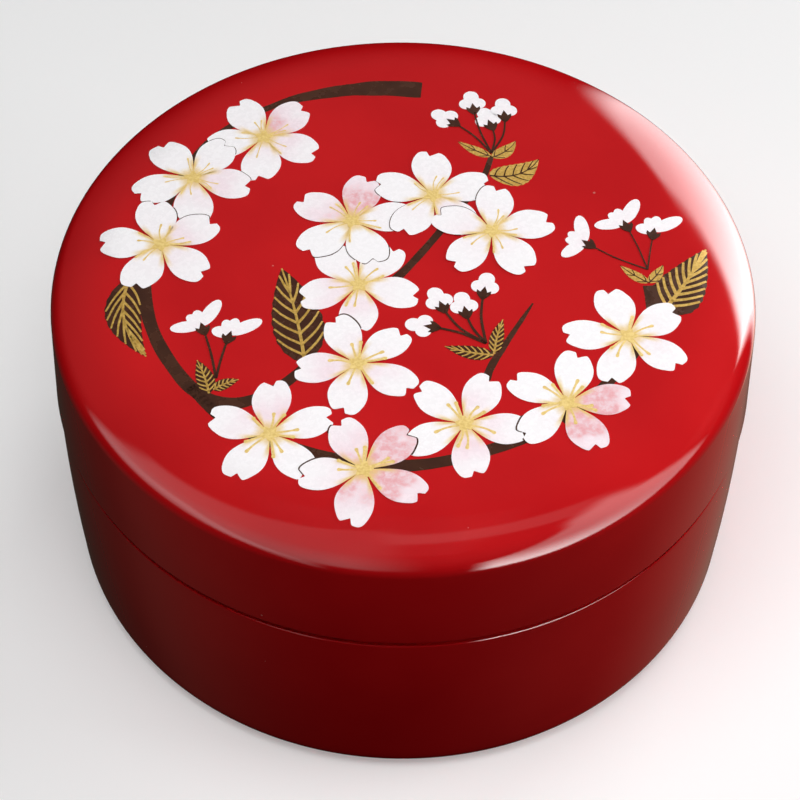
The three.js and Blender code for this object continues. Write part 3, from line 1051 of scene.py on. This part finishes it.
outline_bands = []
for petal in petals:
    lower = [other for other in petals if other.layer < petal.layer]
    near = [other for other in lower if math.hypot(other.x - petal.x, other.y - petal.y) < 2 * PETAL_LENGTH]
    if not near:
        continue
    band = patch("outline", OUTLINE_COLUMNS, 1, outline_place(petal))
    clear = []
    for face in band.data.polygons:
        clear.append(not any(other.covers(face.center.x / MM, face.center.y / MM) for other in near))
    if all(clear):
        bpy.ops.object.delete()
        continue
    deselect_mesh("FACE")
    band.data.polygons.foreach_set("select", clear)
    bpy.ops.object.mode_set(mode="EDIT")
    bpy.ops.mesh.delete(type="FACE")
    bpy.ops.mesh.select_mode(type="VERT")
    bpy.ops.object.mode_set(mode="OBJECT")
    outline_bands.append(laid(band, BLOSSOM_LIFT + (petal.layer - OUTLINE_DROP) * LAYER_STEP))
outlines = joined("painted_petal_outlines", outline_bands)
outlines.data.materials.append(brown)
outlines.select_set(False)
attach(outlines, "lid")

# Gold hearts and stamens
# Each blossom has a small pale gold star at its heart and up to ten thin stamens with rounded tips, drawn
# over the petals. Every other stamen lies a little higher, and the star covers their feet.
STAMEN_COUNT = 10
STAMEN_TURN = 360 / STAMEN_COUNT
STAMEN_PAIRING = 9
STAMEN_WIDTH = 0.33
STAMEN_START = 0.8
STAMEN_NECK = 0.7
STAMEN_TIP = 0.86
STAMEN_SWELL = 0.8
STAMEN_SWING = 4
STAMEN_REACH = (0.4, 0.52)
STAMEN_BOW = 0.3
BOW_PLACE = 0.6
MISSING_SHARE = 0.25
HEART_RADIUS = 1.2
HEART_STAR = 0.22
STAMEN_LIFTS = (0.015 * MM, 0.025 * MM)
HEART_LIFT = 0.04 * MM


def stamen_width(full):
    """A stamen's width along it, which grows towards the tip and closes there in a round end."""
    def width(along):
        if along < STAMEN_TIP:
            return full * (1 + STAMEN_SWELL * max(0, (along - STAMEN_NECK) / (STAMEN_TIP - STAMEN_NECK)))
        past = (along - STAMEN_TIP) / (1 - STAMEN_TIP)
        return full * (1 + STAMEN_SWELL) * math.sqrt(max(0, 1 - past ** 2))
    return width


def heart_place(x, y, turn):
    """Places a blossom's heart, a star whose points lie between the petals."""
    def place(along, across):
        angle = 360 * across
        reach = HEART_RADIUS * (1 + HEART_STAR * math.cos(math.radians(PETAL_COUNT * angle)))
        return turned_about(x, y, turn + PETAL_TURN / 2 + angle, (along * reach, 0))
    return place


pale_gold = gold_paint(
    "pale_gold_paint", dull=(0.74, 0.51, 0.15, 1), bright=(0.87, 0.66, 0.26, 1), metallic=0.1
)
gold_films = []
for x, y, turn, half_width, layer, tints in BLOSSOMS:
    petal_lift = BLOSSOM_LIFT + layer * LAYER_STEP
    width = stamen_width(STAMEN_WIDTH * fineness(y))
    for first, stamen_lift in enumerate(STAMEN_LIFTS):
        stamens = []
        for index in range(first, STAMEN_COUNT, len(STAMEN_LIFTS)):
            lean = STAMEN_PAIRING if index % 2 else -STAMEN_PAIRING
            angle = turn + STAMEN_TURN * index + lean + chance.uniform(-STAMEN_SWING, STAMEN_SWING)
            reach = PETAL_LENGTH * chance.uniform(*STAMEN_REACH)
            bow = chance.uniform(-STAMEN_BOW, STAMEN_BOW)
            if index > first and chance.random() < MISSING_SHARE:
                continue
            line = [(STAMEN_START, 0), (reach * BOW_PLACE, bow), (reach, 0)]
            points = [turned_about(x, y, angle, point) for point in line]
            stamens.append(ribbon("stamen", points, width, columns=20, rows=2))
        gold_films.append(laid(joined("stamens", stamens), petal_lift + stamen_lift))
    gold_films.append(laid(patch("heart", 4, 50, heart_place(x, y, turn)), petal_lift + HEART_LIFT))
hearts = joined("painted_gold_hearts", gold_films)
hearts.data.materials.append(pale_gold)
hearts.select_set(False)
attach(hearts, "lid")

# Painted buds
# Buds stand on thin brown stalks in four clusters. Some are shut, with three round lobes, and some are
# opening, with a wing of petals to either side. A dark calyx with three points holds each.
BUD_LIFT = 0.08 * MM
CALYX_STEP = 0.03 * MM
CAP_FOOT = 0.9
CAP_TINT = 0.25
CAP_PAINT_START = 0.6
LEAST_REACH = 0.05
STALK_BOW = 0.25
CALYX_FOOT = -1.3
CALYX_HALF_WIDTH = 1.1
CALYX_NOTCH = 0.25
CALYX_POINT = 1.2
CALYX_SIDE_POINT = 0.35
# Each oval lobe has its turn from the stalk, in degrees, the distance to its middle, its half length and its
# half width.
SHUT_BUD = [(0, 2, 1.35, 1.25), (66, 1.05, 1.2, 1.2), (-66, 1.05, 1.2, 1.2)]
OPENING_BUD = [(-46, 2.7, 2.85, 1.15), (0, 1.4, 1.65, 0.95), (32, 1.35, 1.6, 0.95), (80, 2.3, 2.5, 1.1)]
NARROW_BUD = [(-46, 2.6, 2.75, 1.15), (0, 1.4, 1.65, 0.95), (34, 1.25, 1.55, 0.95), (92, 1.35, 1.55, 1.1)]
BUD_CLUSTERS = [
    # foot of the stalks, their width, then each bud's place, lean in degrees and lobes
    ((13.7, 24.4), 0.3, [(7.7, 31.2, 12, SHUT_BUD), (10.9, 34.4, -8, SHUT_BUD), (13.7, 30.7, 20, SHUT_BUD),
                         (15.9, 32.9, 20, SHUT_BUD)]),
    ((12.5, -15.5), 0.4, [(4.5, -12.5, 12, SHUT_BUD), (6, -8.6, -20, SHUT_BUD), (9.5, -9.6, -15, SHUT_BUD),
                          (12.2, -5.6, -12, SHUT_BUD)]),
    ((37.5, 0.3), 0.22, [(28.6, 5.1, -9, OPENING_BUD), (34.6, 9.2, 4, OPENING_BUD),
                         (38.7, 7.7, -2, NARROW_BUD)]),
    ((-27.7, -22.7), 0.36, [(-30.1, -13.2, 5, OPENING_BUD), (-26.2, -14.9, -4, NARROW_BUD)]),
]


def bud_reach(lobes, angle):
    """How far a bud's edge lies from its foot in one direction, at the furthest of its lobes."""
    furthest = LEAST_REACH
    for turn, middle, half_length, half_width in lobes:
        c, s = bearing(angle - turn)
        spread = (c / half_length) ** 2 + (s / half_width) ** 2
        lean = middle * c / half_length ** 2
        inside = lean ** 2 - spread * ((middle / half_length) ** 2 - 1)
        if inside > 0:
            furthest = max(furthest, (lean + math.sqrt(inside)) / spread)
    return furthest


def cap_place(x, y, turn, lobes):
    """Places a bud's cap, as shares of the way out from its foot and of a whole turn round it."""
    def place(along, across):
        angle = 360 * across - 180
        reach = along * bud_reach(lobes, angle)
        c, s = bearing(angle)
        return turned_about(x, y, turn, (CAP_FOOT + reach * c, reach * s))
    return place


def calyx_place(x, y, turn):
    """Places a calyx, which widens from the stalk to two side points with a longer point between them."""
    def place(along, across):
        side = 2 * across - 1
        off = abs(side)
        middle = max(0, 1 - 2 * off)
        outer = max(0, 2 * off - 1)
        top = CALYX_NOTCH + CALYX_POINT * middle + CALYX_SIDE_POINT * outer
        foot = CALYX_FOOT * (1 - off ** 1.5)
        return turned_about(x, y, turn, (foot + (top - foot) * along, side * CALYX_HALF_WIDTH))
    return place


caps = []
brown_parts = []
for foot, stalk_width, buds in BUD_CLUSTERS:
    for x, y, lean, lobes in buds:
        run = Vector((x - foot[0], y - foot[1]))
        turn = math.degrees(math.atan2(run.y, run.x)) + lean
        bow = Vector((run.y, -run.x)) * STALK_BOW * math.tan(math.radians(lean))
        half_way = Vector(foot) + run * 0.5 + bow
        stalk = [foot, tuple(half_way), turned_about(x, y, turn, (CALYX_FOOT / 2, 0))]
        brown_parts.append(ribbon("stalk", stalk, tapering(stalk_width, 1.2, 0.3), columns=16, rows=1))
        brown_parts.append(patch("calyx", 4, 16, calyx_place(x, y, turn)))
        cap = tinted(patch("cap", 5, 96, cap_place(x, y, turn, lobes)), CAP_TINT)
        for corner in cap.data.uv_layers["UVMap"].data:
            corner.uv.x = CAP_PAINT_START + (1 - CAP_PAINT_START) * corner.uv.x
        caps.append(cap)
bud_caps = laid(joined("painted_buds", caps), BUD_LIFT)
bud_caps.data.materials.append(blossom_white)
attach(bud_caps, "lid")
stalks = laid(joined("painted_bud_stalks", brown_parts), BUD_LIFT + CALYX_STEP)
stalks.data.materials.append(brown)
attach(stalks, "lid")

# Studio
# A pale floor lies under soft light from a low lamp on the right, one above the front, a faint one low in
# front and one behind. A dome that only the gloss shows stands for the room: a window behind on the right, a
# bright wall to the front right, a dim one to the front left, the table and a strip of light overhead.
FLOOR_SIZE = 6.0
FLOOR_NEAR_GLOW = 0.3
FLOOR_FAR_GLOW = 0.85
FLOOR_GLOW_START = 0.1
FLOOR_GLOW_END = 0.8
SKY_COLOUR = (0.95, 0.97, 1.0, 1)
SKY_SEEN = 0.8
SKY_LIGHT = 0.015
DOME_RADIUS = 2.5
STUDIO_AIM = Vector((0, 0, 0.04))
LAMPS = [
    # place, size and power
    ((0.38, -0.015, 0.16), 0.25, 0.93),
    ((-0.02, -0.1, 0.41), 0.25, 1.18),
    ((-0.06, -0.25, 0.05), 0.15, 0.04),
    ((0.65, 0.87, 0.56), 0.6, 5),
]


def hinged(tree, start, value, bend, slope):
    """An edge that stays at its start and then slants, once a value passes the bend."""
    past = maths(tree, "MAXIMUM", maths(tree, "SUBTRACT", value, bend), 0.0)
    return maths(tree, "MULTIPLY_ADD", past, slope, start)


def span(tree, value, low, high, low_soft, high_soft):
    """A mask that is 1 between two edges, with a soft step at each."""
    above = ramp(tree, maths(tree, "SUBTRACT", value, low), -low_soft, low_soft)
    below = ramp(tree, maths(tree, "SUBTRACT", value, high), -high_soft, high_soft, 1.0, 0.0)
    return product(tree, above, below)


def graded(tree, factor, first, second):
    return add_node(tree, "ShaderNodeMix", {0: factor, 2: first, 3: second}, data_type="FLOAT").outputs[0]


def left_wall(tree, turn, height):
    """A dim wall to the front left, brighter low down and towards its left end."""
    leftwards = product(tree, turn, -1.0)
    sides = span(tree, turn, hinged(tree, -95.0, height, 50.0, 1.4), -4.0, 5.0, 14.0)
    ends = span(tree, height, hinged(tree, -6.0, leftwards, 45.0, 0.25), 86.0, 7.0, 4.0)
    upwards = ramp(tree, height, 5.0, 85.0, 1.6, 0.45)
    along = ramp(tree, turn, -95.0, -20.0, 1.15, 0.75)
    return product(tree, sides, ends, upwards, along)


def ledge(tree, turn, height):
    """A brighter band across the left wall, which slopes down towards the front."""
    above = maths(tree, "SUBTRACT", height, hinged(tree, 20.0, turn, -62.0, -0.85))
    band = span(tree, above, -10.0, 6.0, 7.0, 5.0)
    sides = span(tree, turn, -92.0, -22.0, 4.0, 4.0)
    return product(tree, band, sides, ramp(tree, turn, -95.0, -60.0, 0.2, 1.1))


def right_wall(tree, turn, height):
    """A bright wall to the front right, brightest at its low front corner."""
    depth = product(tree, height, -1.0)
    near_side = hinged(tree, 22.0, height, 6.0, 0.8)
    far_side = hinged(tree, 83.0, depth, -25.0, 0.25)
    sides = span(tree, turn, near_side, far_side, 4.0, 4.0)
    ends = span(tree, height, hinged(tree, -26.0, turn, 45.0, 0.5), 57.0, 5.0, 4.0)
    low_glow = ramp(tree, turn, 30.0, 80.0, 12.0, 3.0)
    high_glow = ramp(tree, turn, 30.0, 80.0, 2.2, 3.2)
    return product(tree, sides, ends, graded(tree, ramp(tree, height, -25.0, 25.0), low_glow, high_glow))


def window(tree, turn, height):
    """A bright window behind on the right, with a slanting top edge."""
    depth = product(tree, height, -1.0)
    sides = span(tree, turn, hinged(tree, 117.0, depth, -20.0, 0.25), 164.0, 5.0, 2.5)
    top = maths(tree, "MULTIPLY_ADD", turn, 0.39, -24.4)
    ends = span(tree, height, -46.0, top, 4.0, 3.0)
    along = ramp(tree, turn, 120.0, 162.0, 18.0, 5.0)
    upwards = ramp(tree, height, -45.0, 15.0, 0.06, 1.0)
    return product(tree, sides, ends, along, upwards)


def table(tree, turn, height):
    """The table below, which shows faintly to the left and the right."""
    left = product(tree, ramp(tree, turn, -90.0, -10.0, 0.06, 0.0), ramp(tree, turn, -115.0, -90.0, 0.5, 1.0))
    near_right = ramp(tree, turn, 5.0, 55.0, 0.0, 0.035)
    far_right = ramp(tree, turn, 75.0, 148.0, 0.0, 0.185)
    glow = maths(tree, "ADD", left, maths(tree, "ADD", near_right, far_right))
    behind = ramp(tree, turn, 150.0, 178.0, 1.0, 0.15)
    far_edge = ramp(tree, height, -40.0, -15.0, 1.0, 0.0)
    near_edge = ramp(tree, height, -75.0, -50.0, 0.15, 1.0)
    return product(tree, glow, behind, far_edge, near_edge)


def overhead_strip(tree, right, front, up):
    """A strip of light above the front right, drawn on a level ceiling."""
    level = maths(tree, "MAXIMUM", up, 0.05)
    aside = maths(tree, "DIVIDE", right, level)
    ahead = maths(tree, "MULTIPLY_ADD", aside, 0.15, maths(tree, "DIVIDE", front, level))
    width = span(tree, ahead, 0.125, 0.285, 0.02, 0.015)
    length = span(tree, aside, -0.03, 0.6, 0.05, 0.1)
    return product(tree, width, length, ramp(tree, up, 0.5, 0.7, 0.0, 0.55))


def room_glow():
    """The room that the gloss shows, as shapes on the dome placed by turn and height in degrees.

    A turn of 0 is in front of the box, 90 to its right and -90 to its left.
    """
    warm = (1, 0.8, 0.62, 1)
    white = (1, 1, 1, 1)
    material = bpy.data.materials.new("room_glow")
    material.use_nodes = True
    material.cycles.emission_sampling = "NONE"
    tree = material.node_tree
    tree.nodes.clear()
    place = object_place(tree)
    outward = add_node(tree, "ShaderNodeVectorMath", {0: place}, operation="NORMALIZE").outputs[0]
    right, back, up = add_node(tree, "ShaderNodeSeparateXYZ", {0: outward}).outputs
    front = product(tree, back, -1.0)
    turn = maths(tree, "DEGREES", maths(tree, "ARCTAN2", right, front))
    height = maths(tree, "DEGREES", maths(tree, "ARCSINE", up))
    glow = product(tree, ramp(tree, height, -5.0, 40.0), ramp(tree, back, -0.2, 0.5, 0.09, 0.16))
    for shape in (left_wall, ledge, right_wall, window, table):
        glow = maths(tree, "ADD", glow, shape(tree, turn, height))
    glow = maths(tree, "ADD", glow, overhead_strip(tree, right, front, up))
    colour = mixed(tree, ramp(tree, height, -45.0, -24.0), warm, white)
    emission = add_node(tree, "ShaderNodeEmission", {"Color": colour, "Strength": glow})
    add_node(tree, "ShaderNodeOutputMaterial", {"Surface": emission.outputs[0]})
    return material


bpy.ops.mesh.primitive_uv_sphere_add(segments=64, ring_count=32, radius=DOME_RADIUS, location=STUDIO_AIM)
room = bpy.context.object
room.name = "room"
room.data.materials.append(room_glow())
room.visible_camera = False
room.visible_diffuse = False
room.visible_shadow = False
room.select_set(False)

# Each lamp lights surfaces without a bright patch of its own in the gloss.
for place, size, power in LAMPS:
    bpy.ops.object.light_add(type="AREA", location=place)
    lamp = bpy.context.object
    lamp.rotation_euler = (STUDIO_AIM - lamp.location).to_track_quat("-Z", "Y").to_euler()
    lamp.data.size = size
    lamp.data.energy = power
    lamp.visible_glossy = False
    lamp.visible_camera = False
    lamp.select_set(False)


def pale_floor():
    """Lit by the lamps near the box, and by its own faint glow further off, where the lamps don't reach."""
    dark_grey = (0.64, 0.64, 0.64, 1)
    light_grey = (0.68, 0.68, 0.68, 1)
    white = (1, 1, 1, 1)
    material, tree, shader = new_material(
        "pale_floor", Roughness=0.9, Specular_IOR_Level=0.1, Emission_Color=white
    )
    place = object_place(tree)
    grain = noise(tree, place, 6.0, 2.0)
    tree.links.new(mixed(tree, grain, dark_grey, light_grey), shader.inputs["Base Color"])
    distance = add_node(tree, "ShaderNodeVectorMath", {0: place}, operation="LENGTH").outputs["Value"]
    glow = ramp(tree, distance, FLOOR_GLOW_START, FLOOR_GLOW_END, FLOOR_NEAR_GLOW, FLOOR_FAR_GLOW)
    tree.links.new(glow, shader.inputs["Emission Strength"])
    return material


bpy.ops.mesh.primitive_plane_add(size=FLOOR_SIZE)
floor = bpy.context.object
floor.name = "floor"
floor.data.materials.append(pale_floor())
floor.visible_diffuse = False
floor.visible_glossy = False
floor.select_set(False)

# The sky is bright to the camera, in the gloss and through glass, and lights the box only faintly.
world = bpy.data.worlds.new("studio")
bpy.context.scene.world = world
world.use_nodes = True
sky_tree = world.node_tree
sky = sky_tree.nodes["Background"]
sky.inputs["Color"].default_value = SKY_COLOUR
rays = add_node(sky_tree, "ShaderNodeLightPath").outputs
seen = rays["Is Camera Ray"]
for ray in ("Is Glossy Ray", "Is Transmission Ray"):
    seen = maths(sky_tree, "MAXIMUM", seen, rays[ray])
strength = maths(sky_tree, "MULTIPLY_ADD", seen, SKY_SEEN, SKY_LIGHT)
sky_tree.links.new(strength, sky.inputs["Strength"])
bpy.context.scene.view_settings.view_transform = "Standard"

# Camera
# It looks down at the front of the box from half an arm's length above, with a long lens, and leans by less
# than a degree.
CAMERA_DISTANCE = 0.4687
CAMERA_ELEVATION = math.radians(50.65)
CAMERA_TARGET = (-0.0003, 0, 0.0264)
CAMERA_ROLL = 0.0137
CAMERA_LENS = 130
CAMERA_SENSOR = 36
CAMERA_CLIP = 0.01
camera_place = (
    CAMERA_TARGET[0],
    CAMERA_TARGET[1] - CAMERA_DISTANCE * math.cos(CAMERA_ELEVATION),
    CAMERA_TARGET[2] + CAMERA_DISTANCE * math.sin(CAMERA_ELEVATION),
)
bpy.ops.object.camera_add(location=camera_place)
camera = bpy.context.object
camera_turn = (Vector(CAMERA_TARGET) - Vector(camera_place)).to_track_quat("-Z", "Y")
camera.rotation_euler = (camera_turn @ Quaternion((0, 0, 1), CAMERA_ROLL)).to_euler()
camera.data.lens = CAMERA_LENS
camera.data.sensor_width = CAMERA_SENSOR
camera.data.clip_start = CAMERA_CLIP
camera.select_set(False)
bpy.context.scene.camera = camera
